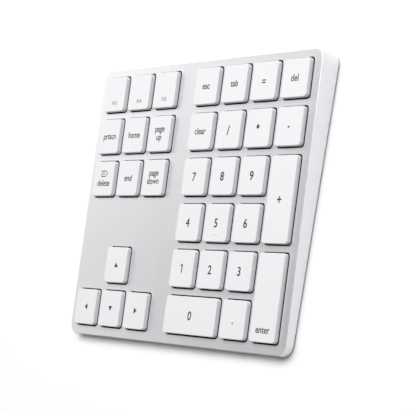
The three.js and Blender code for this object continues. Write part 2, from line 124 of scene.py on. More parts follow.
# Layers and mechanisms under the deck
PLATE_TOP = -2.35
SHEET = (-1.85, -1.65)
SHEET_SIZE = (145.8, 114.1)
SHEET_CORNER = 5.5
SHEET_SCREW_HOLE = 2.2
TAIL_WINDOW_SIZE = (10, 20)
TAIL_WINDOW_CENTRE = (-9.5, 35)
TAIL_WINDOW_CORNER = 0.5
HOOK_ALONG = 12.4
HOOK_OPENING = (2.8, 4)
HOOK_OPENING_CORNER = 0.3
WIRE_PIVOT_ACROSS = 1.1
WIRE_PIVOT_HEIGHT = -1.1
WIRE_BAR_ACROSS = 5.9
WIRE_BAR_HEIGHT = 0.35
WIRE_HALF = 13.5
WIRE_PIN = 1.9
WIRE_RADIUS = 0.4
OUTER_LINK = (6.2, 5.2)
INNER_LINK = (5.0, 4.0)
LINK_MIDDLE = -0.35
LINK_SLOPE = 0.194
LINK_PIN_REACH = (4.6, 5.7)
LINK_PIN_HALF = (0.25, 0.2)

# Bottom cover
FOOT_RECESS_RADIUS = 5.25
FOOT_RECESS_DEPTH = 0.3
SCREW_RECESS_RADIUS = 1.75
SCREW_RECESS_DEPTH = 0.45
SCREW_HOLE_RADIUS = 0.95
RECESS_BREAK = 0.1
TRAY_WALL = (0.4, 1.2)
TRAY_TOP = 2.7
TRAY_CORNER = 0.8
TRAY_BREAK = 0.1
TRAY_SINK = 0.2

# Ports in the rear wall
PORT_HEIGHT = 4.38
PORT_GAP = 0.3
USB_SHELL = (8.94, 3.26)
SWITCH_X = -22
SWITCH_KNOB = (4, 1.8)
SWITCH_TRAVEL = 3
BUTTON_X = -34
BUTTON_RADIUS = 1.5
LIGHT_X = -42
LIGHT_RADIUS = 0.8

# How finely shapes are divided
ARC_STEPS = 8
EDGE_STEPS = 4
ROUND_SIDES = 48
SMALLEST_CORNER = 0.02
SHARP_ANGLE = math.radians(38)

DECK = Matrix.Translation((0, 0, DECK_CENTRE_Z)) @ Matrix.Rotation(TILT, 4, "X")


# Camera and light, in metres, degrees and watts

CAMERA_POSITION = (0.55614, -0.08540, 0.40539)
CAMERA_TARGET = (0.01273, -0.00170, 0.00680)
CAMERA_ROLL = -75.235
CAMERA_LENS = 146.5
SOFTBOX_DISTANCE = 1.2
SOFTBOX_SIZE = 0.9
AMBIENT = 0.16


def add_camera():
    camera = bpy.data.objects.new("camera", bpy.data.cameras.new("camera"))
    bpy.context.scene.collection.objects.link(camera)
    camera.data.lens = CAMERA_LENS
    camera.data.sensor_width = 36
    camera.data.dof.use_dof = False
    forward = Vector(CAMERA_TARGET) - Vector(CAMERA_POSITION)
    camera.location = CAMERA_POSITION
    camera.rotation_mode = "QUATERNION"
    roll = Quaternion((0, 0, 1), math.radians(CAMERA_ROLL))
    camera.rotation_quaternion = forward.to_track_quat("-Z", "Y") @ roll
    bpy.context.scene.camera = camera


def add_softbox(name, turn, rise, power):
    """A square light that faces the keypad: turn is its angle from +X, rise its angle up."""
    light = bpy.data.objects.new(name, bpy.data.lights.new(name, "AREA"))
    bpy.context.scene.collection.objects.link(light)
    light.data.size = SOFTBOX_SIZE
    light.data.energy = power
    turn, rise = math.radians(turn), math.radians(rise)
    across = math.cos(rise)
    place = Vector((across * math.cos(turn), across * math.sin(turn), math.sin(rise)))
    light.location = place * SOFTBOX_DISTANCE
    light.rotation_mode = "QUATERNION"
    light.rotation_quaternion = (-place).to_track_quat("-Z", "Y")


def add_world(strength):
    world = bpy.data.worlds.new("studio")
    bpy.context.scene.world = world
    world.use_nodes = True
    background = world.node_tree.nodes["Background"]
    background.inputs["Color"].default_value = (1, 1, 1, 1)
    background.inputs["Strength"].default_value = strength


# Materials

FINISH = {}
ROUGHNESS_SPREAD = 0.05


def material(
    name,
    colour,
    roughness,
    metallic=0.0,
    patch=400,
    tone=0.03,
    grain=6000,
    relief=0.1,
    depth=0.00002,
    stretch=(1, 1, 1),
    **sockets,
):
    """Adds a procedural finish: patches vary its tone and roughness, a fine grain its relief."""
    made = bpy.data.materials.new(name)
    made.use_nodes = True
    nodes, links = made.node_tree.nodes, made.node_tree.links
    shader = nodes["Principled BSDF"]
    shader.inputs["Metallic"].default_value = metallic
    for socket, value in sockets.items():
        shader.inputs[socket.replace("_", " ")].default_value = value

    place = nodes.new("ShaderNodeTexCoord")
    mapping = nodes.new("ShaderNodeMapping")
    mapping.inputs["Scale"].default_value = stretch
    links.new(place.outputs["Object"], mapping.inputs["Vector"])

    def noise(scale, detail):
        node = nodes.new("ShaderNodeTexNoise")
        node.inputs["Scale"].default_value = scale
        node.inputs["Detail"].default_value = detail
        links.new(mapping.outputs["Vector"], node.inputs["Vector"])
        return node.outputs["Fac"]

    patches = noise(patch, detail=4)
    mix = nodes.new("ShaderNodeMix")
    mix.data_type = "RGBA"
    links.new(patches, mix.inputs["Factor"])
    for socket, share in (("A", 1 - tone), ("B", 1 + tone)):
        shade = [min(1, channel * share) for channel in colour]
        colour_sockets = [s for s in mix.inputs if s.name == socket and s.type == "RGBA"]
        colour_sockets[0].default_value = (*shade, 1)
    result = [s for s in mix.outputs if s.type == "RGBA"][0]
    links.new(result, shader.inputs["Base Color"])

    grains = noise(grain, detail=2)
    spread = nodes.new("ShaderNodeMapRange")
    spread.inputs["To Min"].default_value = max(0, roughness - ROUGHNESS_SPREAD)
    spread.inputs["To Max"].default_value = min(1, roughness + ROUGHNESS_SPREAD)
    links.new(patches, spread.inputs["Value"])
    links.new(spread.outputs["Result"], shader.inputs["Roughness"])

    bump = nodes.new("ShaderNodeBump")
    bump.inputs["Strength"].default_value = relief
    bump.inputs["Distance"].default_value = depth
    links.new(grains, bump.inputs["Height"])
    links.new(bump.outputs["Normal"], shader.inputs["Normal"])
    FINISH[name] = made


material(
    "case_aluminium", (0.78, 0.791, 0.807), 0.3, metallic=0.65, patch=60, tone=0.012, relief=0.25
)
material("key_plastic", (0.785, 0.79, 0.805), 0.5, patch=150, tone=0.01, grain=9000, relief=0.15)
material("legend_ink", (0.03, 0.03, 0.033), 0.6, grain=12000)
material("legend_ink_light", (0.13, 0.13, 0.14), 0.6, grain=12000)
material("cover_plastic", (0.72, 0.73, 0.745), 0.6, grain=3500, relief=0.5, depth=0.00003)
material("plate_steel", (0.5, 0.51, 0.52), 0.35, metallic=1.0, stretch=(1, 12, 1), relief=0.3)
material("wire_steel", (0.55, 0.55, 0.56), 0.3, metallic=1.0, relief=0.2)
material("scissor_plastic", (0.02, 0.02, 0.022), 0.5)
material("membrane_film", (0.5, 0.46, 0.36), 0.4, patch=700, tone=0.08)
# Near-black, partly the domes' own colour and partly painted shade: it makes the gaps round the
# keys read black
material("dome_silicone", (0.012, 0.012, 0.013), 0.75, relief=0.3)
material("circuit_board", (0.02, 0.11, 0.05), 0.4, patch=900, tone=0.15)
material(
    "battery_wrap", (0.42, 0.44, 0.47), 0.35, metallic=0.6, patch=250, relief=0.5, depth=0.0001
)
material("shield_steel", (0.6, 0.61, 0.62), 0.28, metallic=1.0, stretch=(6, 1, 1))
material("socket_plastic", (0.7, 0.69, 0.63), 0.5)
material("switch_plastic", (0.012, 0.012, 0.013), 0.45)
material("button_plastic", (0.76, 0.77, 0.79), 0.45)
material("light_plastic", (0.85, 0.87, 0.88), 0.15, tone=0.02, IOR=1.49)
material("foot_rubber", (0.22, 0.23, 0.24), 0.85, grain=2500, relief=0.7, depth=0.00004)
material("screw_steel", (0.5, 0.5, 0.52), 0.3, metallic=1.0, stretch=(1, 1, 8))
material("contact_gold", (0.85, 0.62, 0.25), 0.25, metallic=1.0, tone=0.04)
material("floor", (0.96, 0.96, 0.965), 0.8, patch=8, tone=0.004, grain=900, relief=0.05)


# Shapes

def rounded(size, radius, inset=0.0, centre=(0, 0), steps=ARC_STEPS):
    """The outline of a rounded rectangle, from the right end of its rear side, anticlockwise."""
    width, depth = size[0] - 2 * inset, size[1] - 2 * inset
    corner = max(radius - inset, SMALLEST_CORNER)
    points = []
    for quarter, (side_x, side_y) in enumerate([(1, 1), (-1, 1), (-1, -1), (1, -1)]):
        x = centre[0] + side_x * (width / 2 - corner)
        y = centre[1] + side_y * (depth / 2 - corner)
        for step in range(steps + 1):
            angle = math.pi / 2 * (quarter + step / steps)
            points.append((x + corner * math.cos(angle), y + corner * math.sin(angle)))
    return points


def circle(radius, centre=(0, 0), sides=ROUND_SIDES):
    angles = [2 * math.pi * side / sides for side in range(sides)]
    return [(centre[0] + radius * math.cos(a), centre[1] + radius * math.sin(a)) for a in angles]


def quarter_round(radius):
    """Inset and drop along a rounded edge, from the face above it to the wall below it."""
    angles = [math.pi / 2 * step / EDGE_STEPS for step in range(EDGE_STEPS + 1)]
    return [(radius * (1 - math.sin(a)), radius * (1 - math.cos(a))) for a in angles]


class Shape:
    """Points, in millimetres, and faces of one piece."""

    def __init__(self):
        self.points = []
        self.faces = []

    def ring(self, points):
        start = len(self.points)
        self.points += [tuple(point) for point in points]
        return list(range(start, len(self.points)))

    def flat_ring(self, outline, height):
        return self.ring((x, y, height) for x, y in outline)

    def wall(self, *rings, leave=None):
        """Faces between neighbouring rings. The side that starts at point leave stays open."""
        for one, other in zip(rings, rings[1:]):
            for i in range(len(one)):
                j = (i + 1) % len(one)
                if i != leave:
                    self.faces.append((one[i], one[j], other[j], other[i]))

    def fill(self, outer, *holes):
        """A flat face inside a ring, with holes."""
        if not holes:
            self.faces.append(tuple(outer))
            return
        loops = [outer, *holes]
        numbers = [number for loop in loops for number in loop]
        places = [[Vector(self.points[number]) for number in loop] for loop in loops]
        for triangle in tessellate_polygon(places):
            self.faces.append(tuple(numbers[corner] for corner in triangle))

    def lathe(self, profile, centre=(0, 0), sides=ROUND_SIDES):
        """A closed solid of revolution about an upright axis, from radii and heights."""
        rings = [self.flat_ring(circle(radius, centre, sides), z) for radius, z in profile]
        self.wall(*rings)
        self.fill(rings[0])
        self.fill(rings[-1])

    def block(self, low, high, edge=0.06):
        """A box with a small edge break round its top and bottom."""
        size = (high[0] - low[0], high[1] - low[1])
        centre = ((high[0] + low[0]) / 2, (high[1] + low[1]) / 2)
        levels = [(edge, low[2]), (0, low[2] + edge), (0, high[2] - edge), (edge, high[2])]
        outlines = [(rounded(size, 2 * edge, inset, centre, steps=2), z) for inset, z in levels]
        rings = [self.flat_ring(outline, z) for outline, z in outlines]
        self.wall(*rings)
        self.fill(rings[0])
        self.fill(rings[-1])


def link(mesh, name):
    piece = bpy.data.objects.new(name, mesh)
    bpy.context.scene.collection.objects.link(piece)
    return piece


def finish_piece(piece, slot, body, replaces=(), finish=None):
    """Gives a piece its finish, which is its slot's unless another is named, and its body."""
    piece.data.materials.append(FINISH[finish or slot])
    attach(piece, body)
    if replaces:
        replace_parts(piece, *replaces)
    return piece


def make(name, shape, slot, body, replaces=(), place=None, finish=None):
    """A piece from a shape, smooth where its faces meet at less than the sharp angle."""
    mesh = bpy.data.meshes.new(name)
    mesh.from_pydata(shape.points, [], shape.faces)
    work = bmesh.new()
    work.from_mesh(mesh)
    bmesh.ops.recalc_face_normals(work, faces=work.faces)
    work.to_mesh(mesh)
    work.free()
    mesh.transform(Matrix.Scale(MM, 4) @ (place or Matrix.Identity(4)))
    mesh.shade_smooth()
    mesh.set_sharp_from_angle(angle=SHARP_ANGLE)
    piece = link(mesh, name)
    normals = piece.modifiers.new("normals", "WEIGHTED_NORMAL")
    normals.keep_sharp = True
    return finish_piece(piece, slot, body, replaces, finish)


def deck_height(y, w=0.0):
    """Height of a plane parallel to the deck above a place on the table."""
    return DECK_CENTRE_Z + y * math.tan(TILT) + w / math.cos(TILT)


def on_deck(x, v, w):
    return tuple(DECK @ Vector((x, v, w)))


def node_box(node):
    """A node's lowest and highest corner in millimetres."""
    return [Vector(corner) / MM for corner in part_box(node)]


def middle_of(node):
    """The middle of a node's box, seen from above."""
    low, high = node_box(node)
    return ((low.x + high.x) / 2, (low.y + high.y) / 2)


# Layout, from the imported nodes

class Key:
    """A key's place and size on the deck."""

    def __init__(self, node):
        low, high = node_box(node)
        self.node = node
        self.name = node.removeprefix("key_")
        middle = DECK.inverted() @ ((low + high) / 2)
        self.x, self.v = middle.x, middle.y
        height = CAP_TOP - CAP_RIM
        depth = (high.y - low.y - height * math.sin(TILT)) / math.cos(TILT)
        self.size = (high.x - low.x, depth)
        self.joint = f"{node}_press"
        self.wide = self.size[0] > 2 * CAP_TOP + self.size[1]
        self.tall = self.size[1] > 2 * CAP_TOP + self.size[0]

    def place(self):
        return DECK @ Matrix.Translation((self.x, self.v, 0))

    def turned_place(self):
        """The key's place, turned on a tall key so that its first axis runs along the key."""
        return self.place() @ Matrix.Rotation(-math.pi / 2 if self.tall else 0, 4, "Z")


KEYS = [Key(node) for node in sorted(frame["nodes"]) if node.startswith("key_")]
LONG_KEYS = [key for key in KEYS if key.wide or key.tall]
SCREWS = sorted(node for node in frame["nodes"] if node.startswith("screw_"))
FEET = sorted(node for node in frame["nodes"] if node.startswith("foot_"))


# Top case

def port_ring(shape, outline, x, y):
    """A ring in a plane across y, about the height of the ports."""
    return shape.ring((x + across, y, PORT_HEIGHT + up) for across, up in outline)


def slot_outline(size, margin):
    """A slot with round ends, and a very short straight stretch in the middle of each."""
    width, height = size[0] + 2 * margin, size[1] + 2 * margin
    return rounded((width, height), height / 2 - 0.01)


def port_outlines(margin):
    """Each port's place along x and its outline, with a margin round what it holds."""
    travelled = (SWITCH_KNOB[0] + SWITCH_TRAVEL, SWITCH_KNOB[1])
    return [
        (0, slot_outline(USB_SHELL, margin)),
        (SWITCH_X, slot_outline(travelled, margin)),
        (BUTTON_X, circle(BUTTON_RADIUS + margin)),
        (LIGHT_X, circle(LIGHT_RADIUS + margin)),
    ]


def key_opening(shape, key):
    """The rings of a key's opening, from the deck's outer face to its inner one."""
    size = (key.size[0] + 2 * HOLE_CLEARANCE, key.size[1] + 2 * HOLE_CLEARANCE)
    rings = []
    for inset, w in ((-HOLE_EDGE, 0), (0, -HOLE_EDGE), (0, -DECK_THICKNESS)):
        outline = rounded(size, HOLE_CORNER, inset, (key.x, key.v))
        rings.append(shape.ring(on_deck(x, v, w) for x, v in outline))
    return rings


def case_ports(shape):
    """Openings through the rear wall. Returns each one's rings at its outer and inner face."""
    break_in = 0.1
    ports = []
    for (x, wide), (_, close) in zip(port_outlines(PORT_GAP + break_in), port_outlines(PORT_GAP)):
        outer = port_ring(shape, wide, x, REAR_FACE)
        middle = port_ring(shape, close, x, REAR_FACE - break_in)
        inner = port_ring(shape, close, x, REAR_FACE - WALL)
        shape.wall(outer, middle, inner)
        ports.append((outer, inner))
    return ports


def screw_boss(shape, screw):
    """A bored post from the deck down to the cover, narrower below the switch plate's top."""
    x, y = middle_of(screw)
    root = deck_height(y, -DECK_THICKNESS) + BOSS_SINK
    lean = BOSS_ROOT_RADIUS * math.tan(TILT)
    shoulder = deck_height(y, PLATE_TOP) + BOSS_CLEARANCE + lean
    bottom = COVER_TOP + BOSS_CLEARANCE
    profile = [(BOSS_BORE_RADIUS, root - BOSS_BORE_STOP), (BOSS_BORE_RADIUS, bottom)]
    profile += [(BOSS_RADIUS, bottom), (BOSS_RADIUS, shoulder)]
    profile += [(BOSS_ROOT_RADIUS, shoulder), (BOSS_ROOT_RADIUS, root)]
    shape.lathe(profile, (x, y), sides=24)


def top_case():
    """The hollow case: its rear wall is filled round the ports, and its deck round the keys."""
    shape = Shape()
    steps = 2 * ARC_STEPS

    def upper(inset, drop):
        outline = rounded(CASE_SIZE, CASE_CORNER, inset, steps=steps)
        return shape.ring((x, y, deck_height(y) - drop) for x, y in outline)

    def lower(inset, z):
        return shape.flat_ring(rounded(CASE_SIZE, CASE_CORNER, inset, steps=steps), z)

    edge = [upper(inset, drop) for inset, drop in quarter_round(CASE_EDGE)]
    foot = [lower(0, FOOT_HEIGHT + RIM_BREAK), lower(RIM_BREAK, FOOT_HEIGHT)]
    inside = [lower(WALL - RIM_BREAK, FOOT_HEIGHT), lower(WALL, FOOT_HEIGHT + RIM_BREAK)]
    under = upper(WALL, DECK_THICKNESS / math.cos(TILT))
    shape.wall(*edge)
    shape.wall(edge[-1], foot[0], leave=steps)
    shape.wall(foot[0], foot[1], inside[0], inside[1])
    shape.wall(inside[1], under, leave=steps)
    ports = case_ports(shape)

    def rear_side(one, other, holes):
        ends = [one[steps], one[steps + 1], other[steps + 1], other[steps]]
        shape.fill(ends, *holes)

    rear_side(edge[-1], foot[0], [outer for outer, _ in ports])
    rear_side(inside[1], under, [inner for _, inner in ports])

    openings = [key_opening(shape, key) for key in KEYS]
    for rings in openings:
        shape.wall(*rings)
    shape.fill(edge[0], *[rings[0] for rings in openings])
    shape.fill(under, *[rings[-1] for rings in reversed(openings)])

    for screw in SCREWS:
        screw_boss(shape, screw)
    make("top_case_shell", shape, "case_aluminium", "case", ["top_case"])


# Keycaps

def cap_shape(key):
    """A hollow cap, from its top down its outside, round its rim and up to its roof inside."""
    shape = Shape()
    inner = (key.size[0] - 2 * CAP_SKIRT, key.size[1] - 2 * CAP_SKIRT)
    rim, fillet = 0.1, 0.15

    def outer(inset, w):
        return shape.flat_ring(rounded(key.size, CAP_CORNER, inset), w)

    def hollow(inset, w):
        return shape.flat_ring(rounded(inner, CAP_INNER_CORNER, inset), w)

    rings = [outer(inset, CAP_TOP - drop) for inset, drop in quarter_round(CAP_EDGE)]
    rings += [outer(0, CAP_RIM + rim), outer(rim, CAP_RIM)]
    rings += [hollow(-rim, CAP_RIM), hollow(0, CAP_RIM + rim)]
    rings += [hollow(0, CAP_ROOF - fillet), hollow(fillet, CAP_ROOF)]
    shape.wall(*rings)
    shape.fill(rings[0])
    shape.fill(rings[-1])
    return shape


def add_clips(shape, key):
    """Four clips under the roof that hold the ends of the links."""
    along, half, across, thick, reach, sink = 3.4, 1, 5.05, 0.35, 0.85, 0.05
    for side in (-1, 1):
        for end in (-1, 1):
            a = [side * along - half, side * along + half]
            b = sorted([end * across, end * (across + thick)])
            x, v = (b, a) if key.tall else (a, b)
            low = (x[0], v[0], CAP_ROOF - reach)
            shape.block(low, (x[1], v[1], CAP_ROOF + sink), edge=0.05)


def homing_bar(shape):
    """A low raised bar in front of the legend of key 5."""
    centre, size, corner, height, sink = (0, -4.5), (4.8, 0.8), 0.34, 0.1, 0.05
    rings = [shape.flat_ring(rounded(size, corner, 0, centre), CAP_TOP - sink)]
    for inset, drop in reversed(quarter_round(height)):
        outline = rounded(size, corner, inset, centre)
        rings.append(shape.flat_ring(outline, CAP_TOP + height - drop))
    shape.wall(*rings)
    shape.fill(rings[0])
    shape.fill(rings[-1])


def keycaps():
    for key in KEYS:
        shape = cap_shape(key)
        add_clips(shape, key)
        if key.name == "5":
            homing_bar(shape)
        make(f"cap_{key.name}", shape, "key_plastic", key.node, [key.node], key.place())


# Legends: thin ink on the caps

INK = (CAP_TOP - 0.01, CAP_TOP + 0.012)
WORD_SIZE = 3.85
DIGIT_SIZE = 5.05
FUNCTION_SIZE = 2.35
WORD_BOLD = 0.075
DIGIT_BOLD = 0.105
FUNCTION_BOLD = 0.06
WORD_RISE = 0.33
CAPITAL_RISE = 0.36
LETTER_CURVE_STEPS = 6
FUNCTION_KEYS = ("f13", "f14", "f15")
FUNCTION_SHIFT = -3.95
NAVIGATION_RIGHT_LIMIT = -20
NAVIGATION_PRINT_SHIFT = 0.45

# Limits, in millimetres, for points that are one, edges of no length and faces of no area
WELD = 0.0005
SHORT_EDGE = 0.002
SLIVER = 1e-6
# The least share of its shift that a sharp corner of a letter keeps when it is emboldened
BLUNT_CORNER = 0.8

WORDS = {
    "escape": [("esc", 0)],
    "tab": [("tab", 0)],
    "del": [("del", 0)],
    "clear": [("clear", 0)],
    "print_screen": [("prtscn", 0)],
    "home": [("home", 0)],
    "end": [("end", 0)],
    "page_up": [("page", 2.05), ("up", -1.5)],
    "page_down": [("page", 2.05), ("down", -1.5)],
    "delete": [("delete", -2)],
    "enter": [("enter", -12.4)],
}
SYMBOLS = {"divide": "/", "multiply": "*", "minus": "-", "plus": "+", "equals": "=", "point": "."}
SYMBOL_SHIFT = {"point": -1.5, "multiply": 0.5, "plus": -0.12}
SYMBOL_SIZE = {"multiply": 3.8, "divide": 5.2, "minus": 4.4, "plus": 5.2, "equals": 4.5}
SYMBOL_BOLD = {"multiply": 0.16, "divide": 0.15, "plus": 0.12, "equals": WORD_BOLD}
OTHER_SYMBOL_SHIFT = -0.3
ARROWS = {"up": 0, "left": 90, "down": 180, "right": 270}


def embolden(mesh, bold):
    """Moves the upright sides of a slab of lettering outwards, with blunt corners."""
    work = bmesh.new()
    work.from_mesh(mesh)
    bmesh.ops.remove_doubles(work, verts=work.verts, dist=WELD)
    bmesh.ops.recalc_face_normals(work, faces=work.faces)
    shifts = []
    for point in work.verts:
        sides = [face.normal for face in point.link_faces if abs(face.normal.z) < 0.5]
        outward = sum(sides, Vector()).normalized()
        lean = outward.dot(sides[0]) if sides else 1
        shifts.append(outward * bold / max(lean, BLUNT_CORNER))
    for point, shift in zip(work.verts, shifts):
        point.co += shift
    work.to_mesh(mesh)
    work.free()


def text_mesh(text, size, bold):
    """Flat lettering about its own middle, as a closed slab of ink, in millimetres."""
    curve = bpy.data.curves.new("lettering", "FONT")
    curve.body = text
    curve.size = size
    curve.extrude = (INK[1] - INK[0]) / 2
    curve.align_x = "CENTER"
    curve.resolution_u = LETTER_CURVE_STEPS
    holder = link(curve, "lettering")
    bpy.context.view_layer.update()
    graph = bpy.context.evaluated_depsgraph_get()
    mesh = bpy.data.meshes.new_from_object(holder.evaluated_get(graph))
    bpy.data.objects.remove(holder)
    bpy.data.curves.remove(curve)
    embolden(mesh, bold)
    return mesh


def join_slivers(work):
    """Joins each triangle of no area to the face on its long side, and divides the result."""
    slivers = [face for face in work.faces if face.calc_area() < SLIVER]
    sides = [max(face.edges, key=lambda edge: edge.calc_length()) for face in slivers]
    # Each side once, in a fixed order, so that every run gives the same mesh
    bmesh.ops.dissolve_edges(work, edges=list(dict.fromkeys(sides)), use_verts=False)
    bmesh.ops.triangulate(work, faces=[face for face in work.faces if len(face.verts) > 3])


def merged(parts):
    """One mesh from meshes and their places."""
    work = bmesh.new()
    for mesh, place in parts:
        mesh.transform(place)
        work.from_mesh(mesh)
        bpy.data.meshes.remove(mesh)
    bmesh.ops.dissolve_degenerate(work, edges=work.edges, dist=SHORT_EDGE)
    join_slivers(work)
    bmesh.ops.recalc_face_normals(work, faces=work.faces)
    mesh = bpy.data.meshes.new("legend")
    work.to_mesh(mesh)
    work.free()
    return mesh


def lettering(text, size, bold, rise=0.0, shift=0.0):
    """Lettering and its place: rise is its middle above its line, as a share of its size."""
    place = Matrix.Translation((0, shift - rise * size, sum(INK) / 2))
    return text_mesh(text, size, bold), place


def drawn(outlines):
    """A slab of ink between an outline and the holes in it."""
    shape = Shape()
    low = [shape.flat_ring(outline, INK[0]) for outline in outlines]
    high = [shape.flat_ring(outline, INK[1]) for outline in outlines]
    for bottom, top in zip(low, high):
        shape.wall(bottom, top)
    shape.fill(*low)
    shape.fill(*high)
    mesh = bpy.data.meshes.new("drawn")
    mesh.from_pydata(shape.points, [], shape.faces)
    return mesh


def arrow(degrees):
    half, height = 1.4, 2.1
    mesh = drawn([[(-half, -height / 2), (half, -height / 2), (0, height / 2)]])
    return mesh, Matrix.Rotation(math.radians(degrees), 4, "Z")


def numeral_one():
    """A one with a flag, which the built-in lettering leaves off."""
    left, right, top, flag, drop, thick, crown = -0.17, 0.43, 1.84, 0.85, 0.74, 0.56, 0.14
    outline = [(left, -top), (right, -top), (right, top), (left + crown, top)]
    outline += [(left - flag, top - drop), (left - flag, top - drop - thick), (left, top - drop)]
    return drawn([outline]), Matrix.Identity(4)


def erase_sign():
    """A tag pointing right with a small cross in it, above the word."""
    def tag(inset):
        left, right, point, half = -2.4 + inset, 0.9 - 0.4 * inset, 2.5 - 1.3 * inset, 1.4 - inset
        return [(left, -half), (right, -half), (point, 0), (right, half), (left, half)]

    line, half, thin = 0.38, 0.62, 0.18
    place = Matrix.Translation((0, 2.15, 0))
    crossing = place @ Matrix.Translation((-0.55, 0, 0))
    parts = [(drawn([tag(0), tag(line)]), place)]
    for degrees in (45, -45):
        stroke = drawn([[(-half, -thin), (half, -thin), (half, thin), (-half, thin)]])
        parts.append((stroke, crossing @ Matrix.Rotation(math.radians(degrees), 4, "Z")))
    return parts


def symbol(name):
    """A symbol that is centred on its own outline, not on its line of text."""
    size, bold = SYMBOL_SIZE.get(name, DIGIT_SIZE), SYMBOL_BOLD.get(name, DIGIT_BOLD)
    mesh, place = lettering(SYMBOLS[name], size, bold)
    ys = [vertex.co.y for vertex in mesh.vertices]
    middle = (min(ys) + max(ys)) / 2
    lift = Matrix.Translation((0, SYMBOL_SHIFT.get(name, OTHER_SYMBOL_SHIFT) - middle, 0))
    return mesh, lift @ place


def legend_parts(name):
    """The meshes and places of what is printed on a key."""
    if name in WORDS:
        words = [
            lettering(text, WORD_SIZE, WORD_BOLD, WORD_RISE, shift) for text, shift in WORDS[name]
        ]
        return words + (erase_sign() if name == "delete" else [])
    if name in ARROWS:
        return [arrow(ARROWS[name])]
    if name == "1":
        return [numeral_one()]
    if name in SYMBOLS:
        return [symbol(name)]
    if name in FUNCTION_KEYS:
        text = name.upper()
        return [lettering(text, FUNCTION_SIZE, FUNCTION_BOLD, CAPITAL_RISE, FUNCTION_SHIFT)]
    return [lettering(name, DIGIT_SIZE, DIGIT_BOLD, CAPITAL_RISE)]


def legends():
    for key in KEYS:
        mesh = merged(legend_parts(key.name))
        shift = NAVIGATION_PRINT_SHIFT if key.x < NAVIGATION_RIGHT_LIMIT else 0
        mesh.transform(Matrix.Scale(MM, 4) @ key.place() @ Matrix.Translation((shift, 0, 0)))
        slot = "legend_ink_light" if key.name in FUNCTION_KEYS else "legend_ink"
        piece = link(mesh, f"legend_{key.name}")
        finish_piece(piece, slot, key.node)


# Under the keys

def hook_openings(key):
    """Openings for the two hooks that hold a long key's stabiliser wire."""
    size = HOOK_OPENING[::-1] if key.tall else HOOK_OPENING
    for side in (-1, 1):
        along, across = side * HOOK_ALONG, WIRE_PIVOT_ACROSS
        offset = (across, along) if key.tall else (along, across)
        centre = (key.x + offset[0], key.v + offset[1])
        yield rounded(size, HOOK_OPENING_CORNER, 0, centre, steps=3)


def dome_sheet():
    """The flat sheet that the domes stand on, with its openings."""
    shape = Shape()
    holes = [opening for key in LONG_KEYS for opening in hook_openings(key)]
    for screw in SCREWS:
        x, y = middle_of(screw)
        holes.append(circle(SHEET_SCREW_HOLE, (x, y / math.cos(TILT))))
    holes.append(rounded(TAIL_WINDOW_SIZE, TAIL_WINDOW_CORNER, 0, TAIL_WINDOW_CENTRE))
    outer = rounded(SHEET_SIZE, SHEET_CORNER)
    sides = [[shape.flat_ring(loop, w) for w in SHEET] for loop in [outer, *holes]]
    for low, high in sides:
        shape.wall(low, high)
    shape.fill(*[low for low, _ in sides])
    shape.fill(*[high for _, high in sides])
    # The sheet's near-black finish is partly painted shade, for the dark gaps round the keys
    make("dome_sheet_base", shape, "dome_silicone", "case", ["dome_sheet"], DECK)


def flattens(piece, key):
    """Gives the piece a mesh of its own. The point on the sheet under its key is worked out but
    not used.
    """
    anchor = Vector(on_deck(key.x, key.v, SHEET[1])) * MM
    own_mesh(piece)


def domes():
    """A hollow dome under each key, from the roof inside it round its foot to its plunger."""
    inside = [(1.0, -0.05), (1.25, -0.2), (1.75, -0.9), (2.35, -1.55), (2.4, -1.7)]
    outside = [(3.0, -1.7), (2.95, -1.6), (2.7, -1.45), (2.1, -0.7), (1.65, 0.0)]
    plunger = [(1.45, 0.15), (1.38, 0.65), (1.3, 0.75), (1.2, 0.8)]
    for key in KEYS:
        shape = Shape()
        shape.lathe(inside + outside + plunger, sides=24)
        piece = make(f"dome_{key.name}", shape, "dome_silicone", "case", (), key.place())
        flattens(piece, key)


def scissor_link(along, opening, slope):
    """A leaning frame: half of its length and of its opening's along the pins, and its slope."""
    across, bar, thick, corner, edge = 4.9, 1, 0.5, 0.6, 0.08
    shape = Shape()

    def ring(size, inset, level):
        outline = rounded((2 * size[0], 2 * size[1]), corner, inset, steps=3)
        return shape.ring((a, b, LINK_MIDDLE + slope * b + level) for a, b in outline)

    levels = [(edge, -thick / 2), (0, edge - thick / 2), (0, thick / 2 - edge), (edge, thick / 2)]
    outer = [ring((along, across), inset, level) for inset, level in levels]
    inner = [ring((opening, across - bar), -inset, level) for inset, level in levels]
    shape.wall(*outer)
    shape.wall(*inner)
    shape.fill(outer[0], inner[0])
    shape.fill(outer[-1], inner[-1])
    return shape


def scissors():
    """Two crossed links under each key, the inner one with the pins that join them."""
    across, up = LINK_PIN_HALF
    for key in KEYS:
        outer = scissor_link(*OUTER_LINK, LINK_SLOPE)
        inner = scissor_link(*INNER_LINK, -LINK_SLOPE)
        for side in (-1, 1):
            ends = sorted(side * reach for reach in LINK_PIN_REACH)
            low = (ends[0], -across, LINK_MIDDLE - up)
            inner.block(low, (ends[1], across, LINK_MIDDLE + up))
        for name, shape in (("outer", outer), ("inner", inner)):
            label = f"link_{name}_{key.name}"
            place = key.turned_place()
            flattens(make(label, shape, "scissor_plastic", "case", (), place), key)


def smooth_path(points, bend=0.9, steps=6):
    """Points along a path whose corners are rounded."""
    path = [Vector(points[0])]
    for before, corner, after in zip(points, points[1:], points[2:]):
        corner = Vector(corner)
        start = corner + (Vector(before) - corner).normalized() * bend
        end = corner + (Vector(after) - corner).normalized() * bend
        for step in range(steps + 1):
            t = step / steps
            path.append(start.lerp(corner, t).lerp(corner.lerp(end, t), t))
    return path + [Vector(points[-1])]


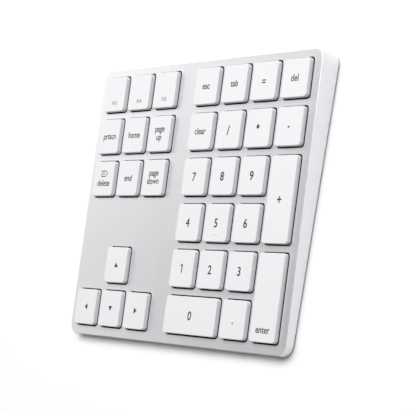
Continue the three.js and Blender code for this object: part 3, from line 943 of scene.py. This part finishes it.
def tube(shape, path, radius, normal, sides=14):
    """A closed round bar along a flat path, whose plane has the given normal."""
    rings = []
    for number, place in enumerate(path):
        before, after = path[max(number - 1, 0)], path[min(number + 1, len(path) - 1)]
        across = (after - before).normalized().cross(normal)
        turns = [2 * math.pi * side / sides for side in range(sides)]
        rings.append(shape.ring(
            place + radius * (math.cos(turn) * normal + math.sin(turn) * across) for turn in turns
        ))
    shape.wall(*rings)
    shape.fill(rings[0])
    shape.fill(rings[-1])


def stabiliser_wires():
    """A bent wire under each long key, on the body that its hinge turns."""
    half, pin = WIRE_HALF, WIRE_HALF - WIRE_PIN
    path = [(pin, WIRE_PIVOT_ACROSS, WIRE_PIVOT_HEIGHT)]
    path += [(half, WIRE_PIVOT_ACROSS, WIRE_PIVOT_HEIGHT)]
    path += [(half, WIRE_BAR_ACROSS, WIRE_BAR_HEIGHT)]
    path += [(-a, b, w) for a, b, w in reversed(path)]
    arm = Vector(path[2]) - Vector(path[1])
    normal = arm.cross(Vector((1, 0, 0))).normalized()
    for key in LONG_KEYS:
        shape = Shape()
        tube(shape, smooth_path(path), WIRE_RADIUS, normal)
        if key.tall:
            shape.points = [(b, a, w) for a, b, w in shape.points]
        body = f"stabiliser_{key.name}"
        make(f"wire_{key.name}", shape, "wire_steel", body, [body], key.place())


# Underside

def foot_recess(shape, node):
    """A foot's recess in the cover. Returns the ring at the cover's lower face."""
    radius = FOOT_RECESS_RADIUS
    levels = [(radius + RECESS_BREAK, FOOT_HEIGHT), (radius, FOOT_HEIGHT + RECESS_BREAK)]
    levels.append((radius, FOOT_HEIGHT + FOOT_RECESS_DEPTH))
    rings = [shape.flat_ring(circle(r, middle_of(node)), z) for r, z in levels]
    shape.wall(*rings)
    shape.fill(rings[-1])
    return rings[0]


def screw_hole(shape, node):
    """A recessed hole through the cover. Returns the rings at its lower and its upper face."""
    radius, seat = SCREW_RECESS_RADIUS, FOOT_HEIGHT + SCREW_RECESS_DEPTH
    levels = [(radius + RECESS_BREAK, FOOT_HEIGHT), (radius, FOOT_HEIGHT + RECESS_BREAK)]
    levels += [(radius, seat), (SCREW_HOLE_RADIUS, seat), (SCREW_HOLE_RADIUS, COVER_TOP)]
    rings = [shape.flat_ring(circle(r, middle_of(node)), z) for r, z in levels]
    shape.wall(*rings)
    return rings[0], rings[-1]


def battery_tray(shape):
    """A low wall on the cover round the battery."""
    low, high = node_box("battery")
    around, centre = (high.x - low.x, high.y - low.y), middle_of("battery")
    inner, outer = TRAY_WALL
    sunk, shoulder = COVER_TOP - TRAY_SINK, TRAY_TOP - TRAY_BREAK
    levels = [(outer, sunk), (outer, shoulder), (outer - TRAY_BREAK, TRAY_TOP)]
    levels += [(inner + TRAY_BREAK, TRAY_TOP), (inner, shoulder), (inner, sunk)]
    rings = []
    for margin, z in levels:
        rings.append(shape.flat_ring(rounded(around, TRAY_CORNER, -margin, centre), z))
    shape.wall(*rings, rings[0])


def bottom_cover():
    """The cover, with recesses for the feet, holes for the screws and the battery's tray."""
    shape = Shape()
    size = (CASE_SIZE[0] - 2 * COVER_INSET, CASE_SIZE[1] - 2 * COVER_INSET)
    corner, rim = CASE_CORNER - COVER_INSET, RIM_BREAK
    levels = [(rim, FOOT_HEIGHT), (0, FOOT_HEIGHT + rim), (0, COVER_TOP - rim), (rim, COVER_TOP)]
    outer = [shape.flat_ring(rounded(size, corner, inset), z) for inset, z in levels]
    shape.wall(*outer)
    recesses = [foot_recess(shape, node) for node in FEET]
    holes = [screw_hole(shape, node) for node in SCREWS]
    shape.fill(outer[0], *recesses, *[low for low, _ in holes])
    shape.fill(outer[-1], *[high for _, high in holes])
    battery_tray(shape)
    make("cover_sheet", shape, "cover_plastic", "case", ["bottom_cover"])


def feet():
    """Round pads, rounded at the bottom."""
    edge, back_edge = 0.22, 0.08
    for node in FEET:
        low, high = node_box(node)
        radius = (high.x - low.x) / 2
        profile = [(radius - inset, drop) for inset, drop in quarter_round(edge)]
        profile += [(radius, high.z - back_edge), (radius - back_edge, high.z)]
        shape = Shape()
        shape.lathe(profile, middle_of(node), sides=64)
        make(f"pad_{node.removeprefix('foot_')}", shape, "foot_rubber", "case", [node])


def cross_outline(centre, length, width):
    """A cross recess, from its right arm's rear corner, anticlockwise."""
    a, b = length / 2, width / 2
    corners = [(a, b), (b, b), (b, a), (-b, a), (-b, b), (-a, b)]
    corners += [(-x, -y) for x, y in corners]
    return [(centre[0] + x, centre[1] + y) for x, y in corners]


def thread(start, end):
    """Radii and heights along a row of thread ridges."""
    pitch, crest, root, above, below = 0.3, 0.7, 0.58, 0.05, 0.02
    profile = []
    while start + pitch < end:
        profile += [(crest, start + above), (root, start + pitch / 2)]
        profile.append((crest, start + pitch - below))
        start += pitch
    return profile


def screws():
    """Cover screws with a cross recess in the head, whose face looks down."""
    head, edge, back_edge, neck, tip = 0.35, 0.12, 0.04, 0.75, 0.5
    mouth, bottom, recess_depth = (1.6, 0.36), (1.3, 0.3), 0.25
    for node in SCREWS:
        low, high = node_box(node)
        place, radius = middle_of(node), (high.x - low.x) / 2
        face, back = low.z, low.z + head
        shape = Shape()
        recess = [shape.flat_ring(cross_outline(place, *mouth), face)]
        recess.append(shape.flat_ring(cross_outline(place, *bottom), face + recess_depth))
        shape.wall(*recess)
        shape.fill(recess[-1])
        profile = [(radius - inset, face + drop) for inset, drop in quarter_round(edge)]
        profile += [(radius, back - back_edge), (radius - back_edge, back), (neck, back)]
        profile += thread(back, high.z) + [(tip, high.z)]
        rings = [shape.flat_ring(circle(r, place), z) for r, z in profile]
        shape.wall(*rings)
        shape.fill(rings[0], recess[0])
        shape.fill(rings[-1])
        make(node.replace("screw", "cover_screw"), shape, "screw_steel", "case", [node])


# Ports

def usb_shell(low, high, x):
    """The shell of the charging socket, closed at its back."""
    size, wall, lip, back = (high.x - low.x, high.z - low.z), 0.3, 0.08, 0.6
    shape = Shape()

    def ring(margin, y):
        return port_ring(shape, slot_outline(size, margin), x, y)

    rings = [ring(-wall, low.y + back), ring(-wall, high.y - lip), ring(lip - wall, high.y)]
    rings += [ring(-lip, high.y), ring(0, high.y - lip), ring(0, low.y)]
    shape.wall(*rings)
    shape.fill(rings[0])
    shape.fill(rings[-1])
    make("usb_shell", shape, "shield_steel", "case", ["usb_c_receptacle"])


def usb_contacts(x, tip, tongue_half):
    """A row of contacts on each side of the tongue, whose tip is at the given place along y."""
    count, pitch, half, proud, length, setback = 12, 0.5, 0.13, 0.03, 4, 0.35
    shape = Shape()
    for number in range(count):
        centre = x + (number - (count - 1) / 2) * pitch
        for side in (-1, 1):
            z = sorted(PORT_HEIGHT + side * (tongue_half + end) for end in (-proud, proud))
            low = (centre - half, tip - length, z[0])
            shape.block(low, (centre + half, tip - setback, z[1]), edge=0.015)
    make("usb_contacts", shape, "shield_steel", "case", finish="contact_gold")


def usb_receptacle():
    low, high = node_box("usb_c_receptacle")
    x = (low.x + high.x) / 2
    usb_shell(low, high, x)

    across, up, root, tip = 6.69 / 2, 0.35, low.y + 0.5, high.y - 0.9
    tongue = Shape()
    tongue.block((x - across, root, PORT_HEIGHT - up), (x + across, tip, PORT_HEIGHT + up))
    make("usb_tongue", tongue, "switch_plastic", "case")
    usb_contacts(x, tip, up)


def along_y(shape, outlines):
    """Walls between outlines in x and z, given with their places along y, and both ends."""
    rings = [port_ring(shape, outline, x, y) for outline, x, y in outlines]
    shape.wall(*rings)
    shape.fill(rings[0])
    shape.fill(rings[-1])


def power_slider():
    """The knob with four grip ridges, and the neck that reaches in to the switch."""
    low, high = node_box("power_switch_slider")
    x, back = (low.x + high.x) / 2, high.y - 1.25
    corner, back_edge, edge = 0.6, 0.08, 0.15
    shape = Shape()
    outlines = [(rounded(SWITCH_KNOB, corner, back_edge), x, back)]
    outlines.append((rounded(SWITCH_KNOB, corner), x, back + back_edge))
    for inset, drop in reversed(quarter_round(edge)):
        outlines.append((rounded(SWITCH_KNOB, corner, inset), x, high.y - drop))
    along_y(shape, outlines)

    across, up, sink = 1.2, 0.6, 0.3
    neck_end = (x + across, back + sink, PORT_HEIGHT + up)
    shape.block((x - across, low.y, PORT_HEIGHT - up), neck_end)

    half, up, depth = 0.09, 0.55, 0.2
    for offset in (-0.9, -0.3, 0.3, 0.9):
        ridge = (x + offset - half, high.y - depth, PORT_HEIGHT - up)
        shape.block(ridge, (x + offset + half, high.y, PORT_HEIGHT + up), edge=0.04)
    make("power_knob", shape, "button_plastic", "power_switch_slider", ["power_switch_slider"])


def pairing_button():
    """A round button with a shallow dish in its face and a collar behind the wall."""
    low, high = node_box("pairing_button")
    x, collar, radius = (low.x + high.x) / 2, (high.x - low.x) / 2, BUTTON_RADIUS
    collar_depth, edge, dish_radius, dish_edge, dish_depth = 0.45, 0.15, 0.9, 0.2, 0.08
    outlines = [(circle(collar), x, low.y), (circle(collar), x, low.y + collar_depth)]
    outlines.append((circle(radius), x, low.y + collar_depth))
    for inset, drop in reversed(quarter_round(edge)):
        outlines.append((circle(radius - inset), x, high.y - drop))
    outlines.append((circle(dish_radius), x, high.y))
    outlines.append((circle(dish_radius - dish_edge), x, high.y - dish_depth))
    shape = Shape()
    along_y(shape, outlines)
    make("button_cap", shape, "button_plastic", "pairing_button", ["pairing_button"])


def light_pipe():
    """A round window in the rear wall on a block that stands on the board."""
    low, high = node_box("status_light_pipe")
    x, edge, half, depth = (low.x + high.x) / 2, 0.2, 0.7, 1.4
    outlines = [(circle(LIGHT_RADIUS), x, low.y)]
    for inset, drop in reversed(quarter_round(edge)):
        outlines.append((circle(LIGHT_RADIUS - inset), x, high.y - drop))
    shape = Shape()
    along_y(shape, outlines)
    shape.block((x - half, low.y, low.z), (x + half, low.y + depth, PORT_HEIGHT))
    make("light_pipe", shape, "light_plastic", "case", ["status_light_pipe"])


# Each chip's place on the board, then its width, depth and height
CHIPS = [
    ((-28, 47), (7, 7, 0.9)),
    ((-18, 41), (4, 5, 1)),
    ((4.5, 44), (3, 3, 0.8)),
    ((5.5, 38.5), (5, 3.2, 1.1)),
]
SMALL_PART = (1, 0.5, 0.45)


def board_parts():
    """Chips on the main board, and a staggered row of small parts."""
    top, sink = node_box("main_board")[1].z, 0.05
    shape = Shape()

    def part(x, y, size, edge):
        half = (size[0] / 2, size[1] / 2)
        low = (x - half[0], y - half[1], top - sink)
        shape.block(low, (x + half[0], y + half[1], top + size[2]), edge)

    for (x, y), size in CHIPS:
        part(x, y, size, edge=0.08)
    count, start, pitch, rows, stagger = 14, (-31, 51.4), 1.9, 3, 1.3
    for number in range(count):
        x, y = start[0] + pitch * number, start[1] - stagger * (number % rows)
        part(x, y, SMALL_PART, edge=0.04)
    make("board_parts", shape, "switch_plastic", "case")


# Carried nodes and the floor

def carried_nodes():
    """CAD nodes that stay as they are and take a finish."""
    stood_for = {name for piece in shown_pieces() for name in piece.get("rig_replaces", [])}
    slots = {part["node"]: part["material_slot"] for part in frame["record"]["subparts"]}
    for node, holder in frame["nodes"].items():
        if node not in stood_for:
            for place in holder.material_slots:
                place.material = FINISH[slots[node]]


FLOOR_LEVEL = -0.02
FLOOR_SIZE = (6000, 6000)
FLOOR_CORNER = 100


def floor():
    """The surface that the keypad stands on, which belongs to the stage."""
    shape = Shape()
    shape.fill(shape.flat_ring(rounded(FLOOR_SIZE, FLOOR_CORNER), FLOOR_LEVEL))
    mesh = bpy.data.meshes.new("floor")
    mesh.from_pydata([Vector(point) * MM for point in shape.points], [], shape.faces)
    mesh.materials.append(FINISH["floor"])
    link(mesh, "floor")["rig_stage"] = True


add_camera()
add_world(AMBIENT)
add_softbox("left", turn=180, rise=15, power=2.1)
add_softbox("left_rear", turn=150, rise=20, power=1.6)
add_softbox("rear", turn=120, rise=60, power=7.2)
add_softbox("right_rear", turn=45, rise=55, power=11)
bpy.context.scene.view_settings.view_transform = "Standard"

top_case()
keycaps()
legends()
dome_sheet()
domes()
scissors()
stabiliser_wires()
bottom_cover()
feet()
screws()
usb_receptacle()
power_slider()
pairing_button()
light_pipe()
board_parts()
carried_nodes()
floor()

VISUAL_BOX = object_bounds()
boxes = {"cad": CAD_BOX, "visual": VISUAL_BOX}
{name: [list(corner) for corner in box] for name, box in boxes.items()}
